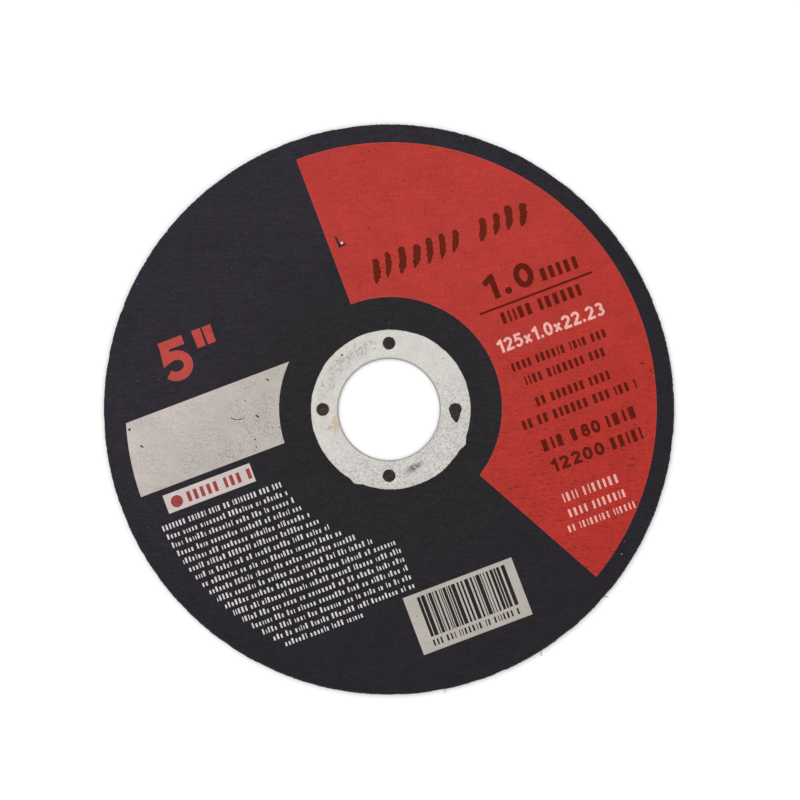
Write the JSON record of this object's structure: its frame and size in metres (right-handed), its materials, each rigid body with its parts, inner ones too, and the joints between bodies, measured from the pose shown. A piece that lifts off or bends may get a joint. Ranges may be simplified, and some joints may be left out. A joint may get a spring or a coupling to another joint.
{
  "type": "cut-off wheel",
  "caption": "Thin flat resin-bonded cut-off wheel with a printed paper label on its front face and a pressed tinplate ring lining its bore, for clamping on an angle grinder's arbor.",
  "frame": {"origin": "on the bore's axis at the back face, which the wheel lies on", "axes": "+Z along the bore's axis, out of the label side; +X to the right and +Y up as the picture shows the label"},
  "size_m": [0.125, 0.125, 0.001],
  "materials": {
    "resin_abrasive": "rough pressed grain",
    "tinplate": "dull tin with fine specks",
    "printed_paper": "matt black with red and pale printed fields"
  },
  "bodies": {
    "root": {"abrasive_disc": "resin_abrasive", "bore_ring": "tinplate", "paper_label": "printed_paper"}
  },
  "joints": []
}
